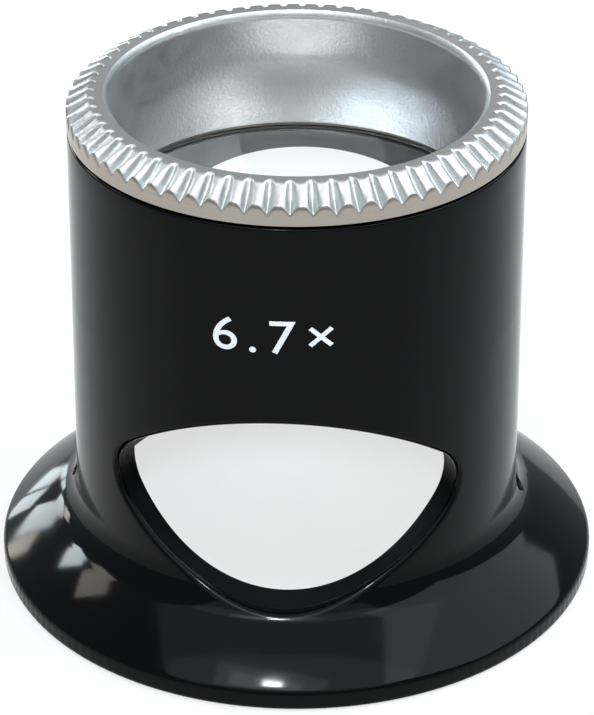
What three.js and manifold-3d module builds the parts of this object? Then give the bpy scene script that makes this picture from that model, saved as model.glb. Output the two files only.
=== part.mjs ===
// Watchmaker eye loupe. A black moulded eyecup carries a biconvex lens on a ledge near its top,
// and a knurled aluminium ring screws in over the lens. Millimetres, +Z up, with the origin on the
// axis at the plane that the eyecup's rim stands on. The windows face -Y and +Y.

import * as THREE from "three";
import { mergeVertices } from "three/addons/utils/BufferGeometryUtils.js";
import Module from "manifold-3d";

const wasm = await Module();
wasm.setup();

// Lens: clear glass, for a working distance of about 38 mm.
const lensRadius = 12;
const lensEdgeHeight = 1.6;
const lensSurfaceRadius = 39.5;

// Clearances between the pieces.
const lensClearance = 0.15; // round the lens in its pocket
const seatGap = 0.1; // under the lens, and between the lens and the ring
const threadClearance = 0.15; // between the two threads, along the radius
const shoulderGap = 0.15; // between the ring's shoulder and the barrel's top

// Thread: right-hand, and the same on the ring and in the barrel.
const threadPitch = 1;
const threadDepth = 0.3;
const threadLength = 4;
const threadMouth = 0.7; // plain bore above the barrel's highest ridge
const threadNose = 0.65; // plain skirt below the ring's lowest ridge
const ridgeRootShare = 0.7; // of the pitch
const ridgeCrestShare = 0.25; // of the pitch

// Screw ring.
const lipOverlap = 0.5; // how far the skirt's end reaches in over the lens
const skirtWall = 0.75;
const skirtBevel = 0.15;
const collarHeight = 2.08; // above the shoulder
const collarEdge = 0.12;
const knurlTeeth = 66;
const knurlTurn = THREE.MathUtils.degToRad(2.05); // where the knurl stops with the ring screwed down
const crestInset = 1.34; // from the collar's outside to a crest's upper end
const crestDrop = 0.76; // from the ring's top to a crest's lower end
const grooveInset = 1.72;
const grooveDrop = 1.4;
const annulusWidth = 0.48; // plain flat ring inside the grooves
const bowlChamfer = 0.3;

// Eyecup, barrel.
const barrelHeight = 29.24;
const barrelWallAtThread = 0.88;
const barrelFlare = 0.14; // how much wider the barrel is at its foot
const barrelWall = 1.92;
const barrelTopBevel = 0.15;
const mouthBevel = 0.2;
const seatDepth = 7.88; // from the barrel's top down to the lens's ledge
const seatReach = 0.6; // how far the ledge reaches in under the lens
const seatThickness = 0.9;

// Eyecup, flared rim.
const flangeReach = 4.78; // beyond the barrel's foot
const footWidth = 1.6; // from the rim's outside in to the hollow underside
const footRound = 0.3;
const rimBand = 0.94; // upright edge of the rim
const rimRound = 0.5;
const crownRadius = 24; // bulge of the rim's upper side
const crownStartAngle = THREE.MathUtils.degToRad(29);
const filletRadius = 2.4;
const underAngle = THREE.MathUtils.degToRad(32);
const throatRound = 1.5;

// Eyecup, windows.
const windowSill = 4.1;
const windowHeadroom = 3.93; // from a window's top up to the underside of the ledge
const pillarWidth = 18.4; // wall left between the two windows, straight across
const windowCornerRadius = 3;
const cornerLimitShare = 0.8; // of the height above or below the corner
const cornerHeightShare = 0.527; // of the window's height
const innerAngleShare = 1.077; // a window spans this much more angle at the bore than outside

// Eyecup, wire holes.
const wireHoleRadius = 0.55;
const wireHoleHeight = 4.8;

// How finely round shapes are cut, and how far a cutter or a joined piece runs past a face.
const turnSegments = 60;
const threadSegments = 32;
const arcSegments = 4;
const windowArcSegments = 10;
const lensArcSegments = 7;
const wireHoleSegments = 12;
const overrun = 0.25;
const ridgeBury = 0.1;

// Radii, from the lens outwards.
const lipRadius = lensRadius - lipOverlap;
const skirtRadius = lipRadius + skirtWall;
const ledgeRadius = lensRadius - seatReach;
const pocketRadius = lensRadius + lensClearance;
const barrelThreadRadius = skirtRadius + threadDepth + threadClearance;
const barrelTopRadius = barrelThreadRadius + barrelWallAtThread;
const barrelFootRadius = barrelTopRadius + barrelFlare;
const boreRadius = barrelFootRadius - barrelWall;
const flangeRadius = barrelFootRadius + flangeReach;
const footInnerRadius = flangeRadius - footWidth;
const bowlRimRadius = barrelTopRadius - grooveInset - annulusWidth;

// Height of the lens's surface above its edge, at a radius.
const crownHeight = (radius) =>
  Math.sqrt(lensSurfaceRadius ** 2 - radius ** 2) - Math.sqrt(lensSurfaceRadius ** 2 - lensRadius ** 2);

// Heights, from the barrel's top downwards and then up the ring.
const seatHeight = barrelHeight - seatDepth;
const lensBottom = seatHeight + crownHeight(ledgeRadius) + seatGap;
const lensTop = lensBottom + lensEdgeHeight;
const skirtBottom = lensTop + crownHeight(lipRadius) + seatGap;
const shoulderHeight = barrelHeight + shoulderGap;
const ringTop = shoulderHeight + collarHeight;
const ledgeUnderside = seatHeight - seatThickness;

// Points [radius, height] along an arc, both ends included.
function arc(centreX, centreY, radius, startAngle, endAngle, segments = arcSegments) {
  const points = [];
  for (let i = 0; i <= segments; i++) {
    const angle = startAngle + ((endAngle - startAngle) * i) / segments;
    points.push([centreX + radius * Math.cos(angle), centreY + radius * Math.sin(angle)]);
  }
  return points;
}

// A three.js geometry as a solid that can be cut and joined.
function solidOf(geometry) {
  const bare = new THREE.BufferGeometry();
  bare.setAttribute("position", geometry.getAttribute("position"));
  bare.setIndex(geometry.index);
  const merged = mergeVertices(bare);
  return new wasm.Manifold(
    new wasm.Mesh({
      numProp: 3,
      vertProperties: merged.getAttribute("position").array,
      triVerts: Uint32Array.from(merged.index.array),
    }),
  );
}

function geometryOf(solid) {
  const mesh = solid.getMesh();
  const geometry = new THREE.BufferGeometry();
  geometry.setAttribute("position", new THREE.BufferAttribute(mesh.vertProperties, 3));
  geometry.setIndex(new THREE.BufferAttribute(mesh.triVerts, 1));
  geometry.computeVertexNormals();
  return geometry;
}

// A solid of revolution about Z. The profile's points are [radius, height], anticlockwise.
function turned(profile) {
  const points = profile.map(([radius, height]) => new THREE.Vector2(radius, height));
  return new THREE.LatheGeometry(points, turnSegments).rotateX(Math.PI / 2);
}

// Joins rings of points, each [x, y, z] and all of one count, into a geometry. A ring's points run
// anticlockwise for someone who looks back from the next ring. closed is true where the last ring
// meets the first, and otherwise each end is filled by a fan from its middle.
function skin(rings, closed) {
  const count = rings[0].length;
  const positions = rings.flat(2);
  const index = [];
  const last = closed ? rings.length : rings.length - 1;
  for (let ring = 0; ring < last; ring++) {
    const here = ring * count;
    const there = ((ring + 1) % rings.length) * count;
    for (let i = 0; i < count; i++) {
      const next = (i + 1) % count;
      index.push(here + i, here + next, there + next);
      index.push(here + i, there + next, there + i);
    }
  }
  if (!closed) {
    for (const [ring, flipped] of [[0, true], [rings.length - 1, false]]) {
      const middle = [0, 1, 2].map((axis) => rings[ring].reduce((sum, p) => sum + p[axis], 0) / count);
      const centre = positions.length / 3;
      positions.push(...middle);
      for (let i = 0; i < count; i++) {
        const a = ring * count + i;
        const b = ring * count + ((i + 1) % count);
        index.push(centre, flipped ? b : a, flipped ? a : b);
      }
    }
  }
  const geometry = new THREE.BufferGeometry();
  geometry.setAttribute("position", new THREE.Float32BufferAttribute(positions, 3));
  geometry.setIndex(index);
  return geometry;
}

// One helical ridge. side is 1 where it stands outwards from the wall and -1 where it stands inwards.
function threadRidge(wallRadius, side, bottom, phaseHeight) {
  const turns = threadLength / threadPitch;
  const steps = Math.ceil(turns * threadSegments);
  const firstAngle = ((bottom - phaseHeight) / threadPitch) * 2 * Math.PI;
  const rootHalf = (threadPitch * ridgeRootShare) / 2;
  const crestHalf = (threadPitch * ridgeCrestShare) / 2;
  const buriedHalf = rootHalf + ((rootHalf - crestHalf) * ridgeBury) / threadDepth;
  const buried = wallRadius - side * ridgeBury;
  const fadeSteps = threadSegments / 4;
  const rings = [];
  for (let step = 0; step <= steps; step++) {
    const angle = firstAngle + (step / threadSegments) * 2 * Math.PI;
    const height = phaseHeight + (angle / (2 * Math.PI)) * threadPitch;
    const rise = Math.min(1, step / fadeSteps, (steps - step) / fadeSteps);
    const crest = wallRadius + side * threadDepth * rise;
    const section = [
      [buried, height - buriedHalf],
      [crest, height - crestHalf],
      [crest, height + crestHalf],
      [buried, height + buriedHalf],
    ];
    if (side > 0) section.reverse();
    rings.push(section.map(([r, z]) => [r * Math.cos(angle), r * Math.sin(angle), z]));
  }
  return solidOf(skin(rings, false));
}

// The eyecup's outline: up the outside, over the top, and down the bore.
function eyecupProfile() {
  const startSin = Math.sin(crownStartAngle);
  const filletCentre = barrelFootRadius + filletRadius;
  const edgeCentre = flangeRadius - rimRound;
  const reach = edgeCentre - filletCentre + (filletRadius + crownRadius) * startSin;
  const crownEndAngle = Math.asin(reach / (crownRadius - rimRound));
  const crownX = edgeCentre - (crownRadius - rimRound) * Math.sin(crownEndAngle);
  const crownY = rimBand - (crownRadius - rimRound) * Math.cos(crownEndAngle);
  const filletY = crownY + (crownRadius + filletRadius) * Math.cos(crownStartAngle);
  const throatCentre = boreRadius + throatRound;
  const throatEnd = throatCentre - throatRound * Math.sin(underAngle);
  const throatY = (footInnerRadius - throatEnd) * Math.tan(underAngle) + throatRound * Math.cos(underAngle);
  return [
    [footInnerRadius, 0],
    ...arc(flangeRadius - footRound, footRound, footRound, -Math.PI / 2, 0),
    ...arc(edgeCentre, rimBand, rimRound, 0, Math.PI / 2 - crownEndAngle),
    ...arc(crownX, crownY, crownRadius, Math.PI / 2 - crownEndAngle, Math.PI / 2 - crownStartAngle).slice(1),
    ...arc(filletCentre, filletY, filletRadius, -Math.PI / 2 - crownStartAngle, -Math.PI).slice(1),
    [barrelTopRadius, barrelHeight - barrelTopBevel],
    [barrelTopRadius - barrelTopBevel, barrelHeight],
    [barrelThreadRadius + mouthBevel, barrelHeight],
    [barrelThreadRadius, barrelHeight - mouthBevel],
    [barrelThreadRadius, lensTop],
    [pocketRadius, lensTop],
    [pocketRadius, seatHeight],
    [ledgeRadius, seatHeight],
    [ledgeRadius, ledgeUnderside],
    [boreRadius, ledgeUnderside],
    ...arc(throatCentre, throatY, throatRound, Math.PI, 1.5 * Math.PI - underAngle),
    [footInnerRadius, 0],
  ];
}

// A window's outline on the barrel's outside, as [distance from the window's middle, height].
function windowOutline() {
  const top = ledgeUnderside - windowHeadroom;
  const halfWidth = Math.sqrt(barrelFootRadius ** 2 - (pillarWidth / 2) ** 2);
  const cornerHeight = windowSill + (top - windowSill) * cornerHeightShare;
  const above = top - cornerHeight;
  const below = cornerHeight - windowSill;
  const corner = Math.min(windowCornerRadius, above * cornerLimitShare, below * cornerLimitShare);
  const cornerX = halfWidth - corner;
  const bulge = (rise) => (cornerX ** 2 + rise ** 2 - corner ** 2) / (2 * (rise - corner));
  const topCentre = top - bulge(above);
  const bottomCentre = windowSill + bulge(below);
  const upper = Math.atan2(cornerHeight - topCentre, cornerX);
  const lower = Math.atan2(cornerHeight - bottomCentre, cornerX);
  return [
    ...arc(cornerX, cornerHeight, corner, lower, upper),
    ...arc(0, topCentre, bulge(above), upper, Math.PI - upper, windowArcSegments).slice(1),
    ...arc(-cornerX, cornerHeight, corner, Math.PI - upper, Math.PI - lower).slice(1),
    ...arc(0, bottomCentre, bulge(below), Math.PI - lower, 2 * Math.PI + lower, windowArcSegments).slice(1, -1),
  ];
}

// The cutter for the window that faces along the given angle.
function windowCutter(facing) {
  const rings = [boreRadius - overrun, flangeRadius].map((radius) => {
    const depthShare = (barrelFootRadius - radius) / barrelWall;
    const widening = 1 + depthShare * (innerAngleShare - 1);
    return windowOutline().map(([across, height]) => {
      const angle = facing + Math.asin(across / barrelFootRadius) * widening;
      return [radius * Math.cos(angle), radius * Math.sin(angle), height];
    });
  });
  return solidOf(skin(rings, false));
}

function makeEyecup() {
  const wireHoleLength = 2 * (flangeRadius + overrun);
  const wireHole = new THREE.CylinderGeometry(wireHoleRadius, wireHoleRadius, wireHoleLength, wireHoleSegments)
    .rotateZ(Math.PI / 2)
    .translate(0, 0, wireHoleHeight);
  const bottom = barrelHeight - threadMouth - threadLength;
  return solidOf(turned(eyecupProfile()))
    .add(threadRidge(barrelThreadRadius, -1, bottom, 0))
    .subtract(windowCutter(-Math.PI / 2))
    .subtract(windowCutter(Math.PI / 2))
    .subtract(solidOf(wireHole));
}

function makeLens() {
  const half = Math.asin(lensRadius / lensSurfaceRadius);
  const drop = Math.sqrt(lensSurfaceRadius ** 2 - lensRadius ** 2);
  const up = Math.PI / 2;
  return solidOf(
    turned([
      ...arc(0, lensBottom + drop, lensSurfaceRadius, -up, half - up, lensArcSegments),
      ...arc(0, lensTop - drop, lensSurfaceRadius, up - half, up, lensArcSegments),
    ]),
  );
}

// The collar before its bowl is bored: V grooves cut along its shoulder leave a crest between each two.
function knurledCollar() {
  const innerRadius = bowlRimRadius - bowlChamfer - overrun;
  const sections = [];
  for (let column = 0; column < 2 * knurlTeeth; column++) {
    const angle = knurlTurn + (column / knurlTeeth) * Math.PI;
    const inset = column % 2 ? grooveInset : crestInset;
    const drop = column % 2 ? grooveDrop : crestDrop;
    const section = [
      [innerRadius, ringTop],
      [barrelTopRadius - inset, ringTop],
      [barrelTopRadius, ringTop - drop],
      [barrelTopRadius, shoulderHeight + collarEdge],
      [barrelTopRadius - collarEdge, shoulderHeight],
      [innerRadius, shoulderHeight],
    ];
    sections.push(section.map(([r, z]) => [r * Math.cos(angle), r * Math.sin(angle), z]));
  }
  return solidOf(skin(sections, true));
}

function makeRing() {
  const innerRadius = bowlRimRadius - bowlChamfer - overrun;
  const skirt = turned([
    [innerRadius, skirtBottom],
    [skirtRadius - skirtBevel, skirtBottom],
    [skirtRadius, skirtBottom + skirtBevel],
    [skirtRadius, shoulderHeight + overrun],
    [innerRadius, shoulderHeight + overrun],
    [innerRadius, skirtBottom],
  ]);
  const bowl = turned([
    [0, skirtBottom - overrun],
    [lipRadius, skirtBottom - overrun],
    [lipRadius, skirtBottom],
    [bowlRimRadius - bowlChamfer, ringTop - bowlChamfer],
    [bowlRimRadius + overrun, ringTop + overrun],
    [0, ringTop + overrun],
  ]);
  return knurledCollar()
    .add(solidOf(skirt))
    .add(threadRidge(skirtRadius, 1, skirtBottom + threadNose, threadPitch / 2))
    .subtract(solidOf(bowl));
}

function named(name, solid, look) {
  const mesh = new THREE.Mesh(geometryOf(solid), new THREE.MeshStandardMaterial(look));
  mesh.name = name;
  return mesh;
}

const loupe = new THREE.Group();
loupe.add(
  named("eyecup_body", makeEyecup(), { color: 0x0c0c0d, roughness: 0.15, metalness: 0 }),
  named("lens", makeLens(), { color: 0xf2f6f6, roughness: 0.02, metalness: 0, transparent: true, opacity: 0.35 }),
  named("screw_ring", makeRing(), { color: 0xd6d8d8, roughness: 0.3, metalness: 1 }),
);

export default loupe;
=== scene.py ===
"""Watchmaker eye loupe: finished surfaces round the fixed frame.

Sizes are millimetres, with the frame's axes and origin; a piece becomes metres when its mesh is made.
"""

import math
import random

import bmesh
import bpy
import numpy as np
from mathutils import Matrix, Vector


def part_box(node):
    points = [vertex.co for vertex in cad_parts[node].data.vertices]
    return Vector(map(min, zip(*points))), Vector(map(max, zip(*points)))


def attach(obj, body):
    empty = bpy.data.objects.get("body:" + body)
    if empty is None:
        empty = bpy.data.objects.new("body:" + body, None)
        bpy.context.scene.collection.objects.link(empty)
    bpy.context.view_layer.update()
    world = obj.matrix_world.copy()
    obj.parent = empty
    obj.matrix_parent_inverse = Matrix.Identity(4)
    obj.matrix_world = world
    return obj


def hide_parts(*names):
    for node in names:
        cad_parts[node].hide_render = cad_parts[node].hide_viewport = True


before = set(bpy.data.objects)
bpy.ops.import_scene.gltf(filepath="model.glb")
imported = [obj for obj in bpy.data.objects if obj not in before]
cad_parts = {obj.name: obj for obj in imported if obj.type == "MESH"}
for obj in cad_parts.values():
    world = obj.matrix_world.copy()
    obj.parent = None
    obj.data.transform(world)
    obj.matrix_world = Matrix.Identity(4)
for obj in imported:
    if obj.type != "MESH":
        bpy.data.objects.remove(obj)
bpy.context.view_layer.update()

MM = 0.001
FULL_TURN = 2 * math.pi
QUARTER_TURN = math.pi / 2


def corners(node):
    """A node's lowest and highest corner, in millimetres."""
    low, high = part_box(node)
    return low / MM, high / MM


# Barrel and flared rim
_, cup_high = corners("eyecup_body")
BARREL_TOP = cup_high.z
FLANGE_RADIUS = cup_high.x
BARREL_TOP_RADIUS = 13.58
BARREL_FOOT_RADIUS = 13.72
BARREL_WALL = 1.92
BORE_RADIUS = BARREL_FOOT_RADIUS - BARREL_WALL
THREAD_BORE_RADIUS = 12.7
TOP_BEVEL = 0.15
MOUTH_BEVEL = 0.2
FOOT_INNER_RADIUS = 16.9
FOOT_ROUND = 0.3
FOOT_INNER_ROUND = 0.25
RIM_BAND = 0.94
RIM_ROUND = 0.5
CROWN_RADIUS = 24.0
CROWN_START = math.radians(29)
FILLET_RADIUS = 2.4
UNDER_ANGLE = math.radians(32)
THROAT_ROUND = 1.5

# The rim's upper side: the centres and the end of its arcs, which are tangent to each other
FILLET_X = BARREL_FOOT_RADIUS + FILLET_RADIUS
EDGE_X = FLANGE_RADIUS - RIM_ROUND
CROWN_REACH = EDGE_X - FILLET_X + (FILLET_RADIUS + CROWN_RADIUS) * math.sin(CROWN_START)
CROWN_END = math.asin(CROWN_REACH / (CROWN_RADIUS - RIM_ROUND))
CROWN_X = EDGE_X - (CROWN_RADIUS - RIM_ROUND) * math.sin(CROWN_END)
CROWN_Y = RIM_BAND - (CROWN_RADIUS - RIM_ROUND) * math.cos(CROWN_END)
FILLET_Y = CROWN_Y + (CROWN_RADIUS + FILLET_RADIUS) * math.cos(CROWN_START)

# The hollow underside: an arc tangent to the bore and to the slope down to the foot
THROAT_X = BORE_RADIUS + THROAT_ROUND
SLOPE_X = THROAT_X - THROAT_ROUND * math.sin(UNDER_ANGLE)
SLOPE_RISE = (FOOT_INNER_RADIUS - SLOPE_X) * math.tan(UNDER_ANGLE)
THROAT_Y = SLOPE_RISE + THROAT_ROUND * math.cos(UNDER_ANGLE)

# Fine ribs round the rim's edge
RIB_COUNT = 170
RIB_DEPTH = 0.014
RIB_FADE_POWER = 0.5

# Lens and its seat
lens_low, _ = corners("lens")
LENS_RADIUS = 12.0
LENS_EDGE = 1.6
LENS_SURFACE_RADIUS = 39.5
LENS_BEVEL = 0.12
LENS_EDGE_ROUND = 0.05
LENS_CENTRE_DROP = math.sqrt(LENS_SURFACE_RADIUS ** 2 - LENS_RADIUS ** 2)
LENS_CROWN = LENS_SURFACE_RADIUS - LENS_CENTRE_DROP
LENS_BOTTOM = lens_low.z + LENS_CROWN
LENS_TOP = LENS_BOTTOM + LENS_EDGE
POCKET_RADIUS = 12.15
LEDGE_RADIUS = 11.4
LEDGE_THICKNESS = 0.9
SEAT_DEPTH = 7.88
SEAT_HEIGHT = BARREL_TOP - SEAT_DEPTH
LEDGE_UNDERSIDE = SEAT_HEIGHT - LEDGE_THICKNESS
EDGE_SOFTNESS = 0.12

# Windows
WINDOW_SILL = 4.1
WALL_OVER_WINDOW = 3.93
WINDOW_TOP = LEDGE_UNDERSIDE - WALL_OVER_WINDOW
PILLAR_WIDTH = 18.4
WINDOW_CORNER_RADIUS = 3.0
CORNER_HEIGHT_SHARE = 0.527
INNER_ANGLE_SHARE = 1.077
OUTER_LIP = 0.42
INNER_LIP = 0.15

# Wire holes
WIRE_HOLE_RADIUS = 0.55
WIRE_HOLE_HEIGHT = 4.8
WIRE_HOLE_LIP = 0.14

# Screw ring
ring_low, ring_high = corners("screw_ring")
RING_TOP = ring_high.z
RING_RADIUS = BARREL_TOP_RADIUS
SHOULDER_GAP = 0.15
SHOULDER_HEIGHT = BARREL_TOP + SHOULDER_GAP
COLLAR_EDGE = 0.12
COLLAR_ROUND_SHARE = 0.9
SKIRT_BOTTOM = ring_low.z
SKIRT_RADIUS = 12.25
SKIRT_ROOT_ROUND = 0.1
SKIRT_FOOT_ROUND = 0.15
LIP_RADIUS = 11.5
LIP_ROUND = 0.08
LIP_HEIGHT = 0.2
BOWL_RIM_RADIUS = 11.38
BOWL_CHAMFER = 0.3
BOWL_EDGE_ROUND = 0.05

# Knurl: insets from the ring's radius, drops from its top, and how much of a tooth each stretch takes
KNURL_TEETH = 66
KNURL_TURN = math.radians(2.05)
CREST_INSET = 1.34
CREST_DROP = 0.76
GROOVE_INSET = 1.72
GROOVE_DROP = 1.4
GROOVE_FLOOR = 0.08
FLANK_WIDTH = 0.16
FLANK_SHARE = 0.8
GROOVE_SHARPNESS = 1.1
VALLEY_DEPTH = 0.09
TOOTH_SCATTER = 0.035
INSET_SEED = 5
DROP_SEED = 9

# Thread. A ridge's root and crest are shares of the pitch, its shoulder and tip widths shares of the
# crest, and its rises shares of the depth
THREAD_PITCH = 1.0
THREAD_DEPTH = 0.3
THREAD_LENGTH = 4.0
THREAD_MOUTH = 0.7
THREAD_NOSE = 0.65
RIDGE_ROOT_SHARE = 0.7
RIDGE_CREST_SHARE = 0.25
RIDGE_SHOULDER_RISE = 0.85
RIDGE_SHOULDER_WIDTH = 1.2
RIDGE_TIP_WIDTH = 0.6
RIDGE_LEAST_RISE = 0.02
RIDGE_FADE_TURNS = 0.25
RIDGE_BURY = 0.1

# Print on the barrel
PRINT_TEXT = "6.7×"
PRINT_CAP_HEIGHT = 2.1
PRINT_STRETCH = 1.12
PRINT_SPACING = 1.25
PRINT_HEIGHT = 22.4
PRINT_TURN = math.radians(-1.9)
PRINT_THICKNESS = 0.02
PRINT_SUNK_SHARE = 0.3

# How finely the pieces are divided: counts, then longest stretches and other lengths
BODY_COLUMNS = 2 * RIB_COUNT
RIM_REFINEMENT = 3
STRIP_HALF = 11
ZONE_TOP = 18.6
ZONE_ROWS = 44
HOLE_ROWS = 8
PATCH_RINGS = 18
LIP_STEPS = 6
WALL_STEPS = 4
BEND_STEPS = 200
CORNER_STEPS = 80
BOW_STEPS = 160
HOLE_STEPS = 180
CROWN_STEPS = 18
RIM_STEPS = 8
EDGE_ROWS = 5
ROUND_STEPS = 5
RIDGE_STEPS = 128
LENS_COLUMNS = 192
LENS_ROWS = 30
KNURL_COLUMNS = 20
SLOPE_ROWS = 12
ANNULUS_ROWS = 3
BAND_ROWS = 4
SKIRT_ROUND_STEPS = 4
FOOT_LONGEST = 6
BORE_LONGEST = 1.2
SKIRT_LONGEST = 1.5
BOWL_LONGEST = 0.25
PRINT_SPLIT = 0.15
PRINT_MERGE = 0.001
WELD = 0.0005

# How strongly the rings round an opening crowd towards it
PATCH_EASE = 1.6


# Shapes

def arc(centre_x, centre_y, radius, start, end, steps):
    """Points along an arc, both ends included."""
    angles = np.linspace(start, end, steps + 1)
    return [(centre_x + radius * math.cos(a), centre_y + radius * math.sin(a)) for a in angles]


def rounded(corner_list, steps=ROUND_STEPS):
    """A line through (x, y, radius) corners, each rounded by its radius."""
    line = []
    for i, (x, y, radius) in enumerate(corner_list):
        here = np.array((x, y))
        if radius == 0 or i == 0 or i == len(corner_list) - 1:
            line.append((x, y))
            continue
        before = np.array(corner_list[i - 1][:2]) - here
        after = np.array(corner_list[i + 1][:2]) - here
        before = before / np.linalg.norm(before)
        after = after / np.linalg.norm(after)
        half = math.acos(float(np.clip(before @ after, -1, 1))) / 2
        middle = (before + after) / np.linalg.norm(before + after)
        centre = here + middle * radius / math.sin(half)
        reach = radius / math.tan(half)
        first, last = here + before * reach - centre, here + after * reach - centre
        start = math.atan2(first[1], first[0])
        turn = (math.atan2(last[1], last[0]) - start + math.pi) % FULL_TURN - math.pi
        line += arc(centre[0], centre[1], radius, start, start + turn, steps)
    return line


def subdivided(line, longest):
    """The same line with no stretch longer than the given length."""
    finer = [line[0]]
    for here, there in zip(line, line[1:]):
        pieces = max(1, math.ceil(math.dist(here, there) / longest))
        for k in range(1, pieces + 1):
            share = k / pieces
            finer.append((here[0] + (there[0] - here[0]) * share, here[1] + (there[1] - here[1]) * share))
    return finer


def polar(radius, angle, height):
    """Points at radii, angles and heights, which are first repeated to one common shape."""
    radius, angle, height = np.broadcast_arrays(radius, angle, height)
    return np.stack([radius * np.cos(angle), radius * np.sin(angle), height], axis=-1)


def spin(profile, angles):
    """Rows of points: each [radius, height] of the profile, turned to each angle."""
    profile = np.array(profile)
    return polar(profile[:, 0, None], angles, profile[:, 1, None])


def around(columns):
    """Equal steps once round the axis."""
    return np.arange(columns) * FULL_TURN / columns


def smooth(share):
    """Eases a share of 0 to 1 in and out."""
    return share * share * (3 - 2 * share)


def add_object(name, data):
    made = bpy.data.objects.new(name, data)
    bpy.context.scene.collection.objects.link(made)
    return made


class Skin:
    """Points and faces of one piece, gathered part by part and welded where the parts meet."""

    def __init__(self):
        self.points = []
        self.faces = []
        self.finishes = []
        self.count = 0

    def add_points(self, points):
        start = self.count
        points = np.asarray(points).reshape(-1, 3)
        self.points.append(points)
        self.count += len(points)
        return start

    def add_face(self, face, finish):
        self.faces.append(face)
        self.finishes.append(finish)

    def grid(self, rows, wrap=True, finish=0):
        """Quads between rows of points. wrap joins the last column to the first."""
        rows = np.asarray(rows)
        height, width = rows.shape[:2]
        start = self.add_points(rows)
        for i in range(height - 1):
            here = start + i * width
            there = here + width
            for j in range(width if wrap else width - 1):
                k = (j + 1) % width
                self.add_face((here + j, here + k, there + k, there + j), finish)

    def fan_row(self, coarse, fine, ratio):
        """Joins a ring of points to a finer ring with ratio times as many."""
        first = self.add_points(coarse)
        second = self.add_points(fine)
        width, fine_width = len(coarse), len(fine)
        for j in range(width):
            across = [second + (j * ratio + k) % fine_width for k in range(ratio + 1)]
            self.add_face((first + (j + 1) % width, first + j, *across), 0)

    def cap(self, ring, tip):
        """Closes a ring of points with triangles to a tip."""
        start = self.add_points(ring)
        end = self.add_points([tip])
        width = len(ring)
        for j in range(width):
            self.add_face((start + j, start + (j + 1) % width, end), 0)

    def piece(self, name, body, materials):
        mesh = bpy.data.meshes.new(name)
        mesh.from_pydata((np.concatenate(self.points) * MM).tolist(), [], self.faces)
        mesh.polygons.foreach_set("material_index", self.finishes)
        mesh.polygons.foreach_set("use_smooth", [True] * len(self.faces))
        for material in materials:
            mesh.materials.append(material)
        welded = bmesh.new()
        welded.from_mesh(mesh)
        bmesh.ops.remove_doubles(welded, verts=welded.verts, dist=WELD * MM)
        bmesh.ops.recalc_face_normals(welded, faces=welded.faces)
        welded.to_mesh(mesh)
        welded.free()
        made = add_object(name, mesh)
        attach(made, body)
        return made


# Materials: texture scales are waves per metre, depths are metres

GLASS_IOR = 1.52
PATCH_TO_GRAIN = 6


def set_inputs(node, values):
    for name, value in values.items():
        node.inputs[name].default_value = value


def new_material(name, values):
    """A material whose shader has the given values. Also returns its node tree and its shader."""
    material = bpy.data.materials.new(name)
    material.use_nodes = True
    shader = material.node_tree.nodes["Principled BSDF"]
    set_inputs(shader, values)
    return material, material.node_tree, shader


def noise(tree, scale, detail=3.0, roughness=0.5, stretch=None):
    """Noise in the object's own coordinates. stretch scales each axis first."""
    place = tree.nodes.new("ShaderNodeTexCoord").outputs["Object"]
    if stretch is not None:
        mapping = tree.nodes.new("ShaderNodeMapping")
        set_inputs(mapping, {"Scale": stretch})
        tree.links.new(place, mapping.inputs["Vector"])
        place = mapping.outputs["Vector"]
    texture = tree.nodes.new("ShaderNodeTexNoise")
    set_inputs(texture, {"Scale": scale, "Detail": detail, "Roughness": roughness})
    tree.links.new(place, texture.inputs["Vector"])
    return texture.outputs["Fac"]


def vary_roughness(tree, shader, source, low, high, start=0.3, stop=0.7):
    """Roughness between low and high, over a texture's middle range."""
    node = tree.nodes.new("ShaderNodeMapRange")
    set_inputs(node, {"From Min": start, "From Max": stop, "To Min": low, "To Max": high})
    tree.links.new(source, node.inputs["Value"])
    tree.links.new(node.outputs["Result"], shader.inputs["Roughness"])


def bump(tree, shader, height, depth, strength=1.0, before=None):
    """A bump of a real depth, on top of an earlier one. It takes that one's place as the shader's normal."""
    node = tree.nodes.new("ShaderNodeBump")
    set_inputs(node, {"Strength": strength, "Distance": depth})
    tree.links.new(height, node.inputs["Height"])
    if before is not None:
        tree.links.new(before, node.inputs["Normal"])
    tree.links.new(node.outputs["Normal"], shader.inputs["Normal"])
    return node.outputs["Normal"]


def plastic_material():
    """Black gloss moulding: almost a mirror, with faint waves from the mould and fine handling marks."""
    material, tree, shader = new_material(
        "black_gloss_moulding",
        {"Base Color": (0.001, 0.001, 0.0012, 1), "Specular IOR Level": 0.10},
    )
    vary_roughness(tree, shader, noise(tree, scale=260, detail=4), low=0.05, high=0.12)
    wave = bump(tree, shader, noise(tree, scale=180, detail=1), depth=0.00006, strength=0.5)
    bump(tree, shader, noise(tree, scale=5200, detail=2), depth=0.0000012, strength=0.5, before=wave)
    return material


def inside_material():
    """The same moulding where the core left it satin, so that the inside shows no glare."""
    material, tree, shader = new_material(
        "black_satin_inside",
        {"Base Color": (0.0022, 0.0022, 0.0024, 1), "Specular IOR Level": 0.08},
    )
    grain = noise(tree, scale=4200)
    vary_roughness(tree, shader, grain, low=0.42, high=0.55)
    bump(tree, shader, grain, depth=0.000006)
    return material


def print_material():
    """White ink, a little uneven in tone."""
    material, tree, shader = new_material("white_pad_print", {"Roughness": 0.45})
    mix = tree.nodes.new("ShaderNodeMix")
    mix.data_type = "RGBA"
    set_inputs(mix, {"A": (0.70, 0.72, 0.74, 1), "B": (0.84, 0.86, 0.87, 1)})
    tree.links.new(noise(tree, scale=9000), mix.inputs["Factor"])
    tree.links.new(mix.outputs["Result"], shader.inputs["Base Color"])
    return material


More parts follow.
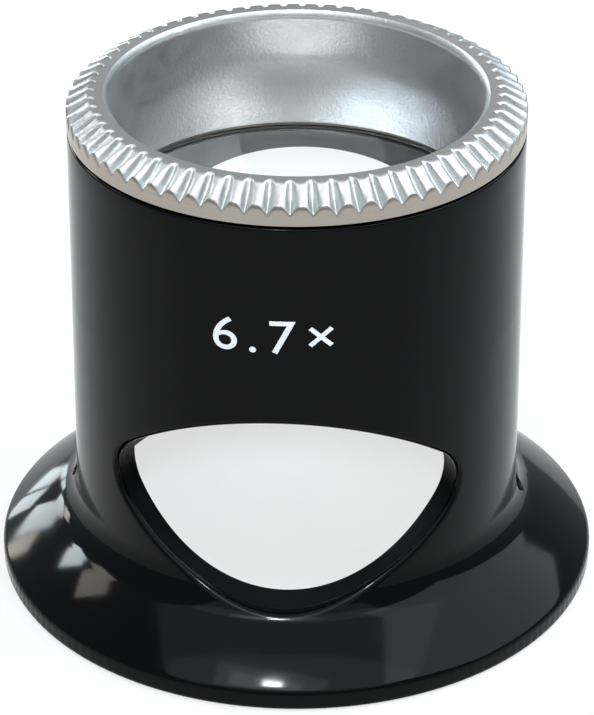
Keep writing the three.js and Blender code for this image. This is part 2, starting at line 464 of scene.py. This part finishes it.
def aluminium_material(name, colour, roughness, scale, depth):
    """Bright aluminium with a grain of the given scale and depth, and a roughness that varies in patches. A
    colour given darker than bare metal is painted shade.
    """
    material, tree, shader = new_material(name, {"Base Color": (*colour, 1), "Metallic": 1.0})
    low, high = roughness
    vary_roughness(tree, shader, noise(tree, scale / PATCH_TO_GRAIN, detail=2), low, high)
    bump(tree, shader, noise(tree, scale, roughness=0.55), depth)
    return material


def turned_material(name, colour):
    """Aluminium as a lathe leaves it: fine rings round the axis, in the colour given. Where that colour is
    darker than bare metal, it is painted shade.
    """
    material, tree, shader = new_material(name, {"Base Color": (*colour, 1), "Metallic": 1.0})
    rings = noise(tree, scale=1.0, stretch=(60, 60, 9000))
    vary_roughness(tree, shader, rings, low=0.24, high=0.38)
    bump(tree, shader, rings, depth=0.000004, strength=0.6)
    return material


def glass_material():
    clear = {"Roughness": 0.0, "IOR": GLASS_IOR, "Transmission Weight": 1.0}
    material, _, _ = new_material("lens_glass", {"Base Color": (0.97, 0.985, 0.98, 1), **clear})
    return material


def ground_material():
    """The lens's edge as it was ground: matt and only half clear."""
    material, tree, shader = new_material(
        "lens_ground_edge",
        {"Base Color": (0.55, 0.57, 0.57, 1), "IOR": GLASS_IOR, "Transmission Weight": 0.6},
    )
    vary_roughness(tree, shader, noise(tree, scale=7000, detail=2), low=0.5, high=0.7)
    return material


# Eyecup body

# The places of its materials
GLOSS, INSIDE = 0, 1


class Zone:
    """A stretch of the wall's profile that the windows and wire holes pass through."""

    def __init__(self, line):
        self.line = np.array(line)
        steps = np.linalg.norm(np.diff(self.line, axis=0), axis=1)
        self.along = np.concatenate([[0], np.cumsum(steps)])
        self.rows = np.linspace(0, self.along[-1], ZONE_ROWS + 1)

    def at(self, along):
        radius = np.interp(along, self.along, self.line[:, 0])
        return radius, np.interp(along, self.along, self.line[:, 1])

    def along_of(self, height):
        return np.interp(-np.asarray(height), -self.line[:, 1], self.along)

    def points(self, angle, along):
        radius, height = self.at(along)
        return polar(radius, angle, height)

    def seen(self, outline, angle_of):
        """An outline's points as (angle, along)."""
        along = self.along_of(outline[:, 1])
        radius, _ = self.at(along)
        return np.stack([angle_of(outline[:, 0], radius), along], axis=1)


def barrel_radius(height):
    """The barrel's outer radius, which narrows towards its top."""
    share = (height - FILLET_Y) / (BARREL_TOP - TOP_BEVEL - FILLET_Y)
    return BARREL_FOOT_RADIUS + (BARREL_TOP_RADIUS - BARREL_FOOT_RADIUS) * share


def outer_zone():
    end = 1.5 * math.pi - CROWN_START
    fillet = arc(FILLET_X, FILLET_Y, FILLET_RADIUS, math.pi, end, BEND_STEPS)
    return Zone([(barrel_radius(ZONE_TOP), ZONE_TOP)] + fillet)


def inner_zone():
    end = 1.5 * math.pi - UNDER_ANGLE
    throat = arc(THROAT_X, THROAT_Y, THROAT_ROUND, math.pi, end, BEND_STEPS)
    return Zone([(BORE_RADIUS, ZONE_TOP)] + throat)


def window_outline():
    """Dense points [across, height] round a window, as seen straight on from outside."""
    half_width = math.sqrt(BARREL_FOOT_RADIUS ** 2 - (PILLAR_WIDTH / 2) ** 2)
    corner_y = WINDOW_SILL + (WINDOW_TOP - WINDOW_SILL) * CORNER_HEIGHT_SHARE
    corner = WINDOW_CORNER_RADIUS
    corner_x = half_width - corner

    def bow(rise):
        """The radius of the arc that rises this far above the corners and is tangent to them."""
        return (corner_x ** 2 + rise ** 2 - corner ** 2) / (2 * (rise - corner))

    top_bow, bottom_bow = bow(WINDOW_TOP - corner_y), bow(corner_y - WINDOW_SILL)
    top_y, bottom_y = WINDOW_TOP - top_bow, WINDOW_SILL + bottom_bow
    upper = math.atan2(corner_y - top_y, corner_x)
    lower = math.atan2(corner_y - bottom_y, corner_x)
    outline = arc(corner_x, corner_y, corner, lower, upper, CORNER_STEPS)[:-1]
    outline += arc(0, top_y, top_bow, upper, math.pi - upper, BOW_STEPS)[:-1]
    outline += arc(-corner_x, corner_y, corner, math.pi - upper, math.pi - lower, CORNER_STEPS)[:-1]
    outline += arc(0, bottom_y, bottom_bow, math.pi - lower, FULL_TURN + lower, BOW_STEPS)[:-1]
    return np.array(outline)


def window_angle(across, radius):
    """How far round from a window's middle its side wall stands, at a radius in the wall."""
    depth_share = (BARREL_FOOT_RADIUS - radius) / BARREL_WALL
    return np.arcsin(across / BARREL_FOOT_RADIUS) * (1 + depth_share * (INNER_ANGLE_SHARE - 1))


def hole_outline():
    return np.array(arc(0, WIRE_HOLE_HEIGHT, WIRE_HOLE_RADIUS, 0, FULL_TURN, HOLE_STEPS)[:-1])


def hole_angle(across, radius):
    return np.arcsin(across / radius)


def border(angles, alongs):
    """Grid points round a rectangle of the wall, in order, as (angle, along)."""
    side = [(angles[-1], a) for a in alongs[::-1]][:-1]
    top = [(a, alongs[0]) for a in angles[::-1]][:-1]
    other = [(angles[0], a) for a in alongs][:-1]
    bottom = [(a, alongs[-1]) for a in angles][:-1]
    return np.array(bottom + side + top + other)


def outward(loop):
    """Unit normals of a closed loop, pointing away from its middle."""
    tangent = np.roll(loop, -1, axis=0) - np.roll(loop, 1, axis=0)
    normal = np.stack([tangent[:, 1], -tangent[:, 0]], axis=1)
    normal /= np.linalg.norm(normal, axis=1)[:, None]
    centre = loop.mean(axis=0)
    facing = np.sign(np.sum(normal * (loop - centre), axis=1))
    return normal * facing[:, None]


def bearings(loop, centre):
    """The directions in which a loop's points lie, seen from a centre."""
    return np.arctan2(loop[:, 1] - centre[1], loop[:, 0] - centre[0])


def matched(outline, flat, loop):
    """The outline's points that lie in the same directions as the loop's, seen from the opening's middle.
    flat holds the outline's points as they lie on the wall."""
    centre = (flat.min(axis=0) + flat.max(axis=0)) / 2
    bearing = np.unwrap(bearings(flat, centre))
    if bearing[-1] < bearing[0]:
        bearing, outline = bearing[::-1], outline[::-1]
    wanted = bearing[0] + (bearings(loop, centre) - bearing[0]) % FULL_TURN
    bearing = np.append(bearing, bearing[0] + FULL_TURN)
    closed = np.vstack([outline, outline[:1]])
    return np.stack([np.interp(wanted, bearing, closed[:, k]) for k in (0, 1)], axis=1)


def lip_rows(corner, start, end):
    """Rows that round off a corner, from just past the start up to the end."""
    rows = []
    for k in range(1, LIP_STEPS + 1):
        turn = QUARTER_TURN * k / LIP_STEPS
        rows.append(corner + (start - corner) * (1 - math.sin(turn)) + (end - corner) * (1 - math.cos(turn)))
    return rows


def opening(skin, zones, columns, spans, facing, outline, angle_of, lips):
    """Cuts an opening through the wall: rings of faces lead from a rectangle of the grid to the
    outline, round its lip, through the wall and out on the other side."""
    scale = np.array([BARREL_FOOT_RADIUS, 1.0])
    loops = [border(columns, span) * scale for span in spans]
    chosen = matched(outline, zones[0].seen(outline, angle_of) * scale, loops[0])
    patches, sharp_rings = [], []
    for zone, loop, lip in zip(zones, loops, lips):
        sharp = zone.seen(chosen, angle_of) * scale
        offset = sharp + outward(sharp) * lip
        rings = []
        for k in range(PATCH_RINGS + 1):
            ease = 1 - (1 - k / PATCH_RINGS) ** PATCH_EASE
            mixed = (loop * (1 - ease) + offset * ease) / scale
            rings.append(zone.points(mixed[:, 0] + facing, mixed[:, 1]))
        patches.append(rings)
        flat = sharp / scale
        sharp_rings.append(zone.points(flat[:, 0] + facing, flat[:, 1]))
    outer, inner = sharp_rings
    through = inner - outer
    through /= np.linalg.norm(through, axis=1)[:, None]
    outer_end, inner_end = outer + through * lips[0], inner - through * lips[1]
    skin.grid(patches[0] + lip_rows(outer, patches[0][-1], outer_end))
    wall = [outer_end + (inner_end - outer_end) * k / WALL_STEPS for k in range(WALL_STEPS + 1)]
    skin.grid(wall + lip_rows(inner, inner_end, patches[1][-1])[:-1] + patches[1][::-1], finish=INSIDE)


def rim_rows(profile, columns):
    """The rim's edge with fine ribs, which fade out at the profile's two ends."""
    profile = np.array(profile)
    angles = around(columns)
    groove = 1 - np.abs(np.sin(angles * RIB_COUNT / 2))
    fade = np.sin(np.linspace(0, math.pi, len(profile))) ** RIB_FADE_POWER
    radius = profile[:, 0, None] - RIB_DEPTH * fade[:, None] * groove[None, :] ** 2
    return polar(radius, angles, profile[:, 1, None])


def add_rim(skin, angles, foot_end):
    """The flared rim: its upper side, its ribbed edge, and its foot up to the hollow underside."""
    crown_turn = QUARTER_TURN - CROWN_END
    crown = arc(CROWN_X, CROWN_Y, CROWN_RADIUS, QUARTER_TURN - CROWN_START, crown_turn, CROWN_STEPS)
    skin.grid(spin(crown, angles))
    edge = arc(EDGE_X, RIM_BAND, RIM_ROUND, crown_turn, 0, RIM_STEPS)
    edge += [(FLANGE_RADIUS, z) for z in np.linspace(RIM_BAND, FOOT_ROUND, EDGE_ROWS)[1:]]
    edge += arc(FLANGE_RADIUS - FOOT_ROUND, FOOT_ROUND, FOOT_ROUND, 0, -QUARTER_TURN, ROUND_STEPS)[1:]
    ribbed = rim_rows(edge[1:-1], BODY_COLUMNS * RIM_REFINEMENT)
    skin.fan_row(spin(edge[:1], angles)[0], ribbed[0], RIM_REFINEMENT)
    skin.grid(ribbed)
    skin.fan_row(spin(edge[-1:], angles)[0], ribbed[-1], RIM_REFINEMENT)
    foot = rounded(
        [
            (*edge[-1], 0),
            (FOOT_INNER_RADIUS, 0, FOOT_INNER_ROUND),
            (*foot_end, 0),
        ]
    )
    skin.grid(spin(subdivided(foot, FOOT_LONGEST), angles), finish=INSIDE)


def add_barrel(skin, angles):
    """The bore with its ledge and the lens's pocket, and the barrel's top, down to where the zones start."""
    mouth = (THREAD_BORE_RADIUS, BARREL_TOP - THREAD_MOUTH, 0)
    bore = rounded(
        [
            (BORE_RADIUS, ZONE_TOP, 0),
            (BORE_RADIUS, LEDGE_UNDERSIDE, EDGE_SOFTNESS),
            (LEDGE_RADIUS, LEDGE_UNDERSIDE, EDGE_SOFTNESS),
            (LEDGE_RADIUS, SEAT_HEIGHT, EDGE_SOFTNESS),
            (POCKET_RADIUS, SEAT_HEIGHT, EDGE_SOFTNESS),
            (POCKET_RADIUS, LENS_TOP, EDGE_SOFTNESS),
            (THREAD_BORE_RADIUS, LENS_TOP, EDGE_SOFTNESS),
            mouth,
        ]
    )
    skin.grid(spin(subdivided(bore, BORE_LONGEST), angles), finish=INSIDE)
    top = rounded(
        [
            mouth,
            (THREAD_BORE_RADIUS, BARREL_TOP, MOUTH_BEVEL),
            (BARREL_TOP_RADIUS, BARREL_TOP, TOP_BEVEL),
            (barrel_radius(ZONE_TOP), ZONE_TOP, 0),
        ]
    )
    skin.grid(spin(subdivided(top, BORE_LONGEST), angles))


def add_wall(skin, zones):
    """The wall below: a narrow strip with a wire hole on each side, and the two windows between them."""
    step = FULL_TURN / BODY_COLUMNS
    strip = np.arange(-STRIP_HALF, STRIP_HALF + 1) * step
    middle = [int(np.abs(z.rows - z.along_of(WIRE_HOLE_HEIGHT)).argmin()) for z in zones]
    firsts = [m - HOLE_ROWS // 2 for m in middle]
    spans = [z.rows[f : f + HOLE_ROWS + 1] for z, f in zip(zones, firsts)]
    lips = (WIRE_HOLE_LIP, WIRE_HOLE_LIP)
    for facing in (0, math.pi):
        for zone, first, finish in zip(zones, firsts, (GLOSS, INSIDE)):
            for rows in (zone.rows[: first + 1], zone.rows[first + HOLE_ROWS :]):
                skin.grid([zone.points(strip + facing, a) for a in rows], wrap=False, finish=finish)
        opening(skin, zones, strip, spans, facing, hole_outline(), hole_angle, lips)
    half = BODY_COLUMNS // 4 - STRIP_HALF
    sweep = np.arange(-half, half + 1) * step
    spans = [z.rows for z in zones]
    lips = (OUTER_LIP, INNER_LIP)
    for facing in (QUARTER_TURN, -QUARTER_TURN):
        opening(skin, zones, sweep, spans, facing, window_outline(), window_angle, lips)


def make_eyecup(materials):
    skin = Skin()
    angles = around(BODY_COLUMNS)
    zones = (outer_zone(), inner_zone())
    add_rim(skin, angles, zones[1].line[-1])
    add_barrel(skin, angles)
    add_wall(skin, zones)
    shell = skin.piece("eyecup_shell", "eyecup", materials)
    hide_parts("eyecup_body")


# Thread

INWARD, OUTWARD = -1, 1


def make_ridge(name, body, material, wall_radius, side, bottom, phase):
    """One helical ridge with a rounded crest, its foot sunk a little into the wall that carries it."""
    skin = Skin()
    steps = int(THREAD_LENGTH / THREAD_PITCH * RIDGE_STEPS)
    first = (bottom - phase) / THREAD_PITCH * FULL_TURN
    root, crest = THREAD_PITCH * RIDGE_ROOT_SHARE / 2, THREAD_PITCH * RIDGE_CREST_SHARE / 2
    buried = root + (root - crest) * RIDGE_BURY / THREAD_DEPTH
    fade = RIDGE_STEPS * RIDGE_FADE_TURNS
    rings = []
    for step in range(steps + 1):
        angle = first + step / RIDGE_STEPS * FULL_TURN
        height = phase + angle / FULL_TURN * THREAD_PITCH
        rise = max(RIDGE_LEAST_RISE, min(1, step / fade, (steps - step) / fade))
        tip = wall_radius + side * THREAD_DEPTH * rise
        shoulder = wall_radius + side * THREAD_DEPTH * rise * RIDGE_SHOULDER_RISE
        foot = wall_radius - side * RIDGE_BURY
        section = [
            (foot, -buried),
            (shoulder, -crest * RIDGE_SHOULDER_WIDTH),
            (tip, -crest * RIDGE_TIP_WIDTH),
            (tip, crest * RIDGE_TIP_WIDTH),
            (shoulder, crest * RIDGE_SHOULDER_WIDTH),
            (foot, buried),
        ]
        rings.append([(r * math.cos(angle), r * math.sin(angle), height + z) for r, z in section])
    skin.grid(rings)
    for ring in (rings[0], rings[-1]):
        skin.cap(ring, np.mean(ring, axis=0))
    skin.piece(name, body, [material])


# Lens

# The places of its materials
POLISHED, GROUND = 0, 1


def make_lens(materials):
    """Two curved faces, each closed at its middle, and the ground edge between them."""
    skin = Skin()
    angles = around(LENS_COLUMNS)
    edge_radius = LENS_RADIUS - LENS_BEVEL
    half = math.asin(edge_radius / LENS_SURFACE_RADIUS)
    up = QUARTER_TURN
    lower = arc(0, LENS_BOTTOM + LENS_CENTRE_DROP, LENS_SURFACE_RADIUS, -up, half - up, LENS_ROWS)
    upper = arc(0, LENS_TOP - LENS_CENTRE_DROP, LENS_SURFACE_RADIUS, up, up - half, LENS_ROWS)
    for face in (lower, upper):
        skin.cap(spin(face[1:2], angles)[0], (0, 0, face[0][1]))
        skin.grid(spin(face[1:], angles), finish=POLISHED)
    edge = rounded(
        [
            (*lower[-1], 0),
            (LENS_RADIUS, LENS_BOTTOM + LENS_BEVEL, LENS_EDGE_ROUND),
            (LENS_RADIUS, LENS_TOP - LENS_BEVEL, LENS_EDGE_ROUND),
            (*upper[-1], 0),
        ]
    )
    skin.grid(spin(edge, angles), finish=GROUND)
    lens = skin.piece("lens_glass", "lens", materials)
    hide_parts("lens")


# Screw ring

# The places of its materials
KNURL, BOWL, TURNED, FACED = 0, 1, 2, 3


def tooth_weights(columns):
    """For each column, how far it is up from groove to crest, near the knurl's top and its bottom."""
    phase = (np.arange(columns) / KNURL_COLUMNS) % 1
    away = np.minimum(phase, 1 - phase)
    swell = np.sin(math.pi * away)
    climb = np.clip((away - GROOVE_FLOOR) / FLANK_WIDTH, 0, 1)
    wide_crest = FLANK_SHARE * smooth(climb) + (1 - FLANK_SHARE) * swell
    return wide_crest, swell ** GROOVE_SHARPNESS


def scatter(columns, seed):
    """Slightly different depths for each groove and each crest, blended between them."""
    draw = random.Random(seed)
    values = np.array([draw.uniform(-1, 1) for _ in range(2 * KNURL_TEETH)]) * TOOTH_SCATTER
    place = np.arange(columns) * 2 / KNURL_COLUMNS
    left = np.floor(place).astype(int)
    share = smooth(place - left)
    return values[left % len(values)] * (1 - share) + values[(left + 1) % len(values)] * share


def make_ring(materials):
    """The knurled slope, the flat ring above it, the band and the threaded skirt below, and the bowl."""
    skin = Skin()
    columns = KNURL_TEETH * KNURL_COLUMNS
    half_tooth = math.pi / KNURL_TEETH
    angles = KNURL_TURN + around(columns) + half_tooth
    top_weight, bottom_weight = tooth_weights(columns)
    inset = GROOVE_INSET + (CREST_INSET - GROOVE_INSET) * top_weight + scatter(columns, INSET_SEED)
    drop = GROOVE_DROP + (CREST_DROP - GROOVE_DROP) * bottom_weight + scatter(columns, DROP_SEED)
    upper_radius, lower_height = RING_RADIUS - inset, RING_TOP - drop
    slope = []
    for share in np.linspace(0, 1, SLOPE_ROWS):
        sink = VALLEY_DEPTH * math.sin(math.pi * share) * (1 - top_weight)
        radius = upper_radius + (RING_RADIUS - upper_radius) * share - sink
        height = RING_TOP + (lower_height - RING_TOP) * share - sink
        slope.append(polar(radius, angles, height))
    skin.grid(slope, finish=KNURL)

    flat_start = BOWL_RIM_RADIUS + BOWL_EDGE_ROUND
    annulus = []
    for share in np.linspace(0, 1, ANNULUS_ROWS):
        annulus.append(polar(flat_start + (upper_radius - flat_start) * share, angles, RING_TOP))
    skin.grid(annulus, finish=FACED)

    band_bottom = SHOULDER_HEIGHT + COLLAR_EDGE
    band = []
    for share in np.linspace(0, 1, BAND_ROWS):
        band.append(polar(RING_RADIUS, angles, lower_height + (band_bottom - lower_height) * share))
    skin.grid(band, finish=TURNED)

    under = rounded(
        [
            (RING_RADIUS, band_bottom, 0),
            (RING_RADIUS, SHOULDER_HEIGHT, COLLAR_EDGE * COLLAR_ROUND_SHARE),
            (SKIRT_RADIUS, SHOULDER_HEIGHT, SKIRT_ROOT_ROUND),
            (SKIRT_RADIUS, SKIRT_BOTTOM, SKIRT_FOOT_ROUND),
            (LIP_RADIUS, SKIRT_BOTTOM, LIP_ROUND),
            (LIP_RADIUS, SKIRT_BOTTOM + LIP_HEIGHT, 0),
        ],
        SKIRT_ROUND_STEPS,
    )
    skin.grid(spin(subdivided(under, SKIRT_LONGEST), angles), finish=TURNED)
    wall = [under[-1], (BOWL_RIM_RADIUS - BOWL_CHAMFER, RING_TOP - BOWL_CHAMFER)]
    skin.grid(spin(subdivided(wall, BOWL_LONGEST), angles), finish=BOWL)
    chamfer = rounded(
        [
            (*wall[-1], 0),
            (BOWL_RIM_RADIUS, RING_TOP, BOWL_EDGE_ROUND),
            (flat_start, RING_TOP, 0),
        ]
    )
    skin.grid(spin(chamfer, angles), finish=KNURL)
    shell = skin.piece("ring_shell", "ring", materials)
    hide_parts("screw_ring")


# Print

def flat_print():
    """The figures as a flat mesh, centred on x, with the capitals' foot at y = 0."""
    curve = bpy.data.curves.new("magnification_print", "FONT")
    curve.body = PRINT_TEXT
    curve.align_x = "CENTER"
    curve.space_character = PRINT_SPACING
    flat = add_object("magnification_print", curve)
    bpy.context.view_layer.update()
    mesh = bpy.data.meshes.new_from_object(flat.evaluated_get(bpy.context.evaluated_depsgraph_get()))
    bpy.data.objects.remove(flat)
    return mesh


def make_print(material):
    """White figures wrapped onto the barrel. Wide faces are split so that they follow its curve."""
    mesh = flat_print()
    scale = PRINT_CAP_HEIGHT / max(v.co.y for v in mesh.vertices)
    shape = bmesh.new()
    shape.from_mesh(mesh)
    bmesh.ops.scale(shape, vec=(scale * PRINT_STRETCH, scale, scale), verts=shape.verts)
    reach = max(abs(v.co.x) for v in shape.verts)
    for x in np.arange(PRINT_SPLIT - reach, reach, PRINT_SPLIT):
        everything = shape.verts[:] + shape.edges[:] + shape.faces[:]
        bmesh.ops.bisect_plane(shape, geom=everything, plane_co=(x, 0, 0), plane_no=(1, 0, 0))
    bmesh.ops.remove_doubles(shape, verts=shape.verts[:], dist=PRINT_MERGE)
    raised = bmesh.ops.extrude_face_region(shape, geom=shape.faces[:])
    for item in raised["geom"]:
        if isinstance(item, bmesh.types.BMVert):
            item.co.z = PRINT_THICKNESS
    for vertex in shape.verts:
        height = PRINT_HEIGHT + vertex.co.y - PRINT_CAP_HEIGHT / 2
        radius = barrel_radius(height) + vertex.co.z - PRINT_THICKNESS * PRINT_SUNK_SHARE
        angle = PRINT_TURN - QUARTER_TURN + vertex.co.x / BARREL_FOOT_RADIUS
        vertex.co = Vector((radius * math.cos(angle), radius * math.sin(angle), height)) * MM
    bmesh.ops.recalc_face_normals(shape, faces=shape.faces)
    # The extruded sides come in any order, so the faces are put in one that is the same each run
    for index, face in enumerate(sorted(shape.faces, key=lambda f: tuple(f.calc_center_median()))):
        face.index = index
    shape.faces.sort()
    shape.to_mesh(mesh)
    shape.free()
    mesh.materials.clear()
    mesh.materials.append(material)
    made = add_object("magnification_print", mesh)
    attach(made, "eyecup")


# Camera

CAMERA_DISTANCE = 200.0
CAMERA_ELEVATION = math.radians(30.04)
CAMERA_ROLL = math.radians(0.055)
CAMERA_TURN = math.radians(3.6)
CAMERA_AIM = Vector((0.02, 0, 13.237))
FOCAL_PIXELS = 3252.8
PHOTO_HEIGHT = 715.0
SENSOR_SIZE = 36.0
CLIP_START_METRES = 0.01
CLIP_END_METRES = 10


def make_camera():
    camera = add_object("camera", bpy.data.cameras.new("camera"))
    camera.data.sensor_width = SENSOR_SIZE
    camera.data.lens = FOCAL_PIXELS * SENSOR_SIZE / PHOTO_HEIGHT
    camera.data.clip_start = CLIP_START_METRES
    camera.data.clip_end = CLIP_END_METRES
    turn = Matrix.Rotation(CAMERA_TURN, 3, "Z")
    back = Vector((0, -math.cos(CAMERA_ELEVATION), math.sin(CAMERA_ELEVATION)))
    place = turn @ (CAMERA_AIM + back * CAMERA_DISTANCE)
    tilt = (-(turn @ back)).to_track_quat("-Z", "Y").to_matrix() @ Matrix.Rotation(CAMERA_ROLL, 3, "Z")
    camera.matrix_world = Matrix.Translation(place * MM) @ tilt.to_4x4()
    bpy.context.scene.camera = camera


# Floor

FLOOR_COLOUR = (0.80, 0.80, 0.80, 1)
FLOOR_ROUGHNESS = 0.9
FLOOR_WHITE_SHARE = 0.7
FLOOR_HALF_METRES = 6.0
FLOOR_GAP = 0.02


def floor_material():
    """Pale and matt, near white where it is seen, mirrored or seen through glass. It keeps shadows."""
    material, tree, shader = new_material(
        "pale_floor",
        {"Base Color": FLOOR_COLOUR, "Roughness": FLOOR_ROUGHNESS, "Specular IOR Level": 0.0},
    )
    path = tree.nodes.new("ShaderNodeLightPath")
    seen = path.outputs["Is Camera Ray"]
    for output in ("Is Glossy Ray", "Is Transmission Ray"):
        either = tree.nodes.new("ShaderNodeMath")
        either.operation = "MAXIMUM"
        tree.links.new(seen, either.inputs[0])
        tree.links.new(path.outputs[output], either.inputs[1])
        seen = either.outputs["Value"]
    share = tree.nodes.new("ShaderNodeMath")
    share.operation = "MULTIPLY"
    share.inputs[1].default_value = FLOOR_WHITE_SHARE
    tree.links.new(seen, share.inputs[0])
    white = tree.nodes.new("ShaderNodeEmission")
    set_inputs(white, {"Color": (1, 1, 1, 1), "Strength": 1.0})
    mix = tree.nodes.new("ShaderNodeMixShader")
    tree.links.new(share.outputs["Value"], mix.inputs["Fac"])
    tree.links.new(shader.outputs["BSDF"], mix.inputs[1])
    tree.links.new(white.outputs["Emission"], mix.inputs[2])
    tree.links.new(mix.outputs["Shader"], tree.nodes["Material Output"].inputs["Surface"])
    return material


def make_floor():
    """A large plane just under the rim's foot."""
    mesh = bpy.data.meshes.new("floor")
    size, level = FLOOR_HALF_METRES, -FLOOR_GAP * MM
    points = [(-size, -size, level), (size, -size, level), (size, size, level), (-size, size, level)]
    mesh.from_pydata(points, [], [(0, 1, 2, 3)])
    mesh.materials.append(floor_material())
    floor = add_object("floor", mesh)


# Light

ROOM_COLOUR = (0.90, 0.96, 1.0, 1)
ROOM_STRENGTH = 0.45
SKYLIGHT = (0.93, 0.97, 1.0)
DAYLIGHT = (0.86, 0.96, 1.0)
SHADE = (0.80, 0.9, 1.0)
WARM_WALL = (1.0, 0.93, 0.85)
NEUTRAL = (1, 1, 1)

# Soft panels: name, azimuth, elevation, distance, width, height, watts, colour. Azimuth 0 is behind
# the loupe and 90 on its left. The panes on the left are a window as a gloss moulding mirrors it.
PANELS = (
    ("overhead", 180, 84, 520, 640, 560, 1.15, SKYLIGHT),
    ("overhead_front", 180, 56, 520, 640, 380, 0.72, SKYLIGHT),
    ("overhead_glow", 168, 65.5, 500, 250, 84, 0.16, DAYLIGHT),
    ("overhead_core", 165, 65, 490, 160, 44, 0.09, DAYLIGHT),
    ("ceiling_spot", 169, 65.6, 460, 38, 13, 0.42, NEUTRAL),
    ("pane_a", 31, 2, 450, 37, 50, 0.055, DAYLIGHT),
    ("pane_b", 36.3, 2.6, 450, 34, 56, 0.055, DAYLIGHT),
    ("pane_c", 42.3, 14, 450, 54, 84, 0.20, DAYLIGHT),
    ("pane_d", 49, 12, 450, 40, 76, 0.10, WARM_WALL),
    ("pane_e", 56, 32.5, 450, 44, 50, 0.22, DAYLIGHT),
    ("wall_left", 66, 41, 500, 66, 70, 0.13, WARM_WALL),
    ("room_right", -76, 48, 500, 560, 420, 2.4, SHADE),
)


def make_panel(name, azimuth, elevation, distance, width, height, watts, colour):
    """A soft panel that faces the loupe."""
    data = bpy.data.lights.new(name, "AREA")
    data.shape = "RECTANGLE"
    data.size, data.size_y = width * MM, height * MM
    data.energy = watts
    data.color = colour
    azimuth, elevation = math.radians(azimuth), math.radians(elevation)
    level = math.cos(elevation)
    towards = Vector((-math.sin(azimuth) * level, math.cos(azimuth) * level, math.sin(elevation)))
    lamp = add_object(name, data)
    lamp.location = (towards * distance + CAMERA_AIM) * MM
    lamp.rotation_mode = "QUATERNION"
    lamp.rotation_quaternion = towards.to_track_quat("Z", "Y")


def make_world():
    world = bpy.data.worlds.new("room")
    bpy.context.scene.world = world
    world.use_nodes = True
    set_inputs(world.node_tree.nodes["Background"], {"Color": ROOM_COLOUR, "Strength": ROOM_STRENGTH})


# The scene

make_camera()
plastic = plastic_material()
# The ring is one aluminium, and only the bowl has the bare metal's colour. The knurl and the faced ring take
# darker base colours: painted shade, which dims them under the same light.
ring_knurl_shaded = aluminium_material(
    "knurled_aluminium_painted_shade", (0.46, 0.475, 0.465), roughness=(0.36, 0.50), scale=2600, depth=0.00003
)
ring_bowl = aluminium_material(
    "bright_bowl", (0.92, 0.93, 0.93), roughness=(0.31, 0.39), scale=5200, depth=0.000022
)
# The turned band's base colour is darker and warmer than bare aluminium: painted reflection, standing in for
# the dim surroundings that the band mirrors.
ring_turned_shaded = turned_material("turned_aluminium_painted_shade", (0.38, 0.345, 0.30))
ring_faced_shaded = turned_material("faced_aluminium_painted_shade", (0.62, 0.61, 0.59))
make_eyecup([plastic, inside_material()])
make_ridge(
    "barrel_thread", "eyecup", plastic,
    wall_radius=THREAD_BORE_RADIUS, side=INWARD, bottom=BARREL_TOP - THREAD_MOUTH - THREAD_LENGTH, phase=0,
)
make_lens([glass_material(), ground_material()])
make_ring([ring_knurl_shaded, ring_bowl, ring_turned_shaded, ring_faced_shaded])
make_ridge(
    "ring_thread", "ring", ring_turned_shaded,
    wall_radius=SKIRT_RADIUS, side=OUTWARD, bottom=SKIRT_BOTTOM + THREAD_NOSE, phase=THREAD_PITCH / 2,
)
make_print(print_material())
make_floor()
for panel in PANELS:
    make_panel(*panel)
make_world()

scene = bpy.context.scene
scene.view_settings.view_transform = "Standard"
